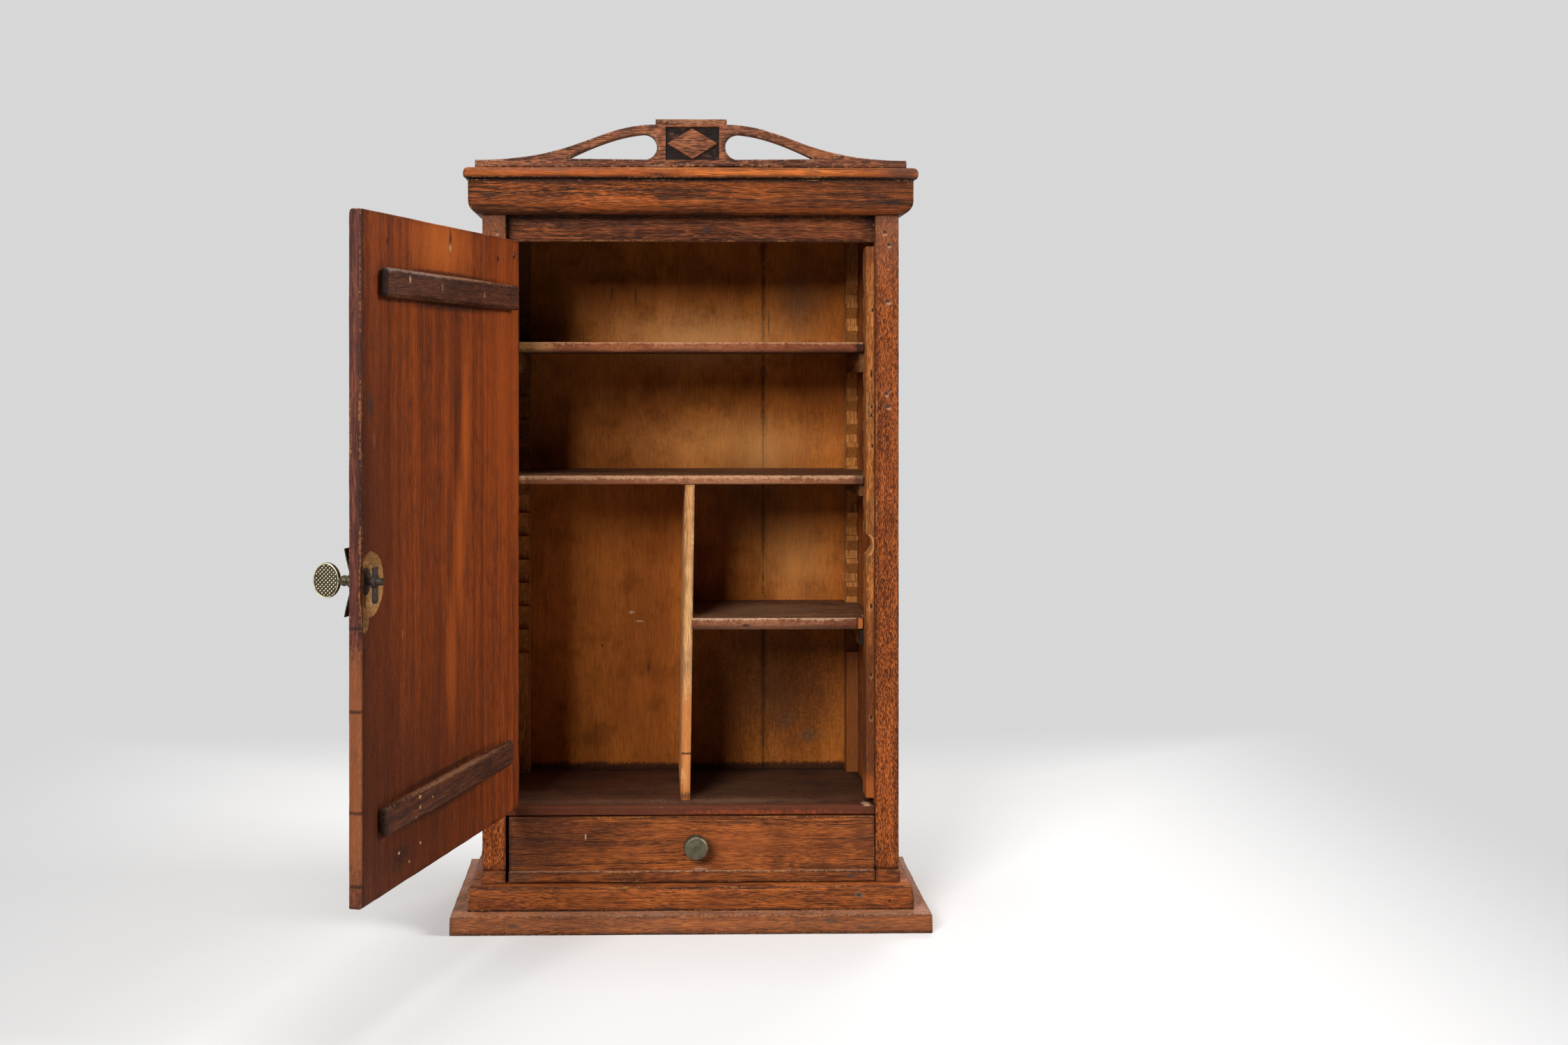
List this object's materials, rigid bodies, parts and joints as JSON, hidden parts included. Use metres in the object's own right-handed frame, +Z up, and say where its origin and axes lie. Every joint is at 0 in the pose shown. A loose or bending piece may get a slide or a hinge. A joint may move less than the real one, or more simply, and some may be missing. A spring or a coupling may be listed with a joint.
{
  "type": "shaving cabinet",
  "caption": "Small wooden table-top shaving cabinet: stepped plinth, drawer with brass knob, plank door with turn latch, notched shelf racks with loose shelves, cornice and pierced crest.",
  "frame": {"origin": "middle of the plinth's underside", "axes": "+Z up, -Y towards the front, +X to the right of a person facing the front"},
  "size_m": [0.449, 0.4476, 0.653],
  "materials": {
    "stained_wood": "stained and waxed, worn",
    "stile_wood": "stained and waxed, flecked grain",
    "door_wood": "red-brown stain, rubbed",
    "batten_wood": "dark stain, worn arrises",
    "inside_pine": "bare pine, dirty",
    "shelf_pine": "bare pine, greyed by use",
    "drawer_pine": "bare pine",
    "brass": "patinated",
    "iron": "dark, rubbed"
  },
  "bodies": {
    "cabinet": {"plinth_lower": "stained_wood", "plinth_upper": "stained_wood", "stile_left": "stile_wood", "stile_right": "stile_wood", "side_left": "stained_wood", "side_right": "stained_wood", "foot_bead_left": "stained_wood", "foot_bead_right": "stained_wood", "floor_board": "shelf_pine", "top_rail": "stained_wood", "cornice_front": "stained_wood", "cornice_left": "stained_wood", "cornice_right": "stained_wood", "top_board": "stained_wood", "crest": "stained_wood", "back_board_left": "inside_pine", "back_board_right": "inside_pine", "divider": "inside_pine", "shelf_upper": "shelf_pine", "shelf_lower": "shelf_pine", "shelf_small": "shelf_pine", "bearer_small_right": "inside_pine", "bearer_upper_left": "inside_pine", "bearer_upper_right": "inside_pine", "bearer_lower_left": "inside_pine", "bearer_lower_right": "inside_pine", "rack_front_left": "inside_pine", "rack_front_right": "inside_pine", "rack_back_left": "inside_pine", "rack_back_right": "inside_pine", "stile_nails_left": "iron", "stile_nails_right": "iron", "hinge_lower_frame_leaf": "brass", "hinge_upper_frame_leaf": "brass", "hinge_pins": "brass", "hinge_frame_screws": "iron"},
    "door": {"door_board": "door_wood", "door_edge_strip": "door_wood", "door_batten_lower": "batten_wood", "door_batten_upper": "batten_wood", "batten_nails": "iron", "escutcheon": "brass", "latch_plate": "iron", "hinge_lower_door_leaf": "brass", "hinge_upper_door_leaf": "brass", "hinge_door_screws": "iron"},
    "latch": {"thumb_turn": "brass", "latch_spindle": "iron", "latch_lever": "iron"},
    "drawer": {"drawer_front": "stained_wood", "drawer_lip": "stained_wood", "drawer_side_left": "drawer_pine", "drawer_side_right": "drawer_pine", "drawer_back": "drawer_pine", "drawer_bottom": "drawer_pine", "drawer_knob": "brass", "knob_stud": "iron", "knob_nut": "iron"}
  },
  "joints": [
    {"name": "door_hinge", "type": "hinge", "parent": "cabinet", "child": "door", "pos_m": [-0.1496, -0.0687, 0.3265], "axis": [0, 0, -1], "range_deg": [-106, 64]},
    {"name": "latch_turn", "type": "hinge", "parent": "door", "child": "latch", "pos_m": [-0.22398, -0.3397, 0.31], "axis": [-0.9613, 0.2756, 0], "range_deg": [0, 90]},
    {"name": "drawer_slide", "type": "slide", "parent": "cabinet", "child": "drawer", "axis": [0, -1, 0], "range_m": [0, 0.11]}
  ]
}
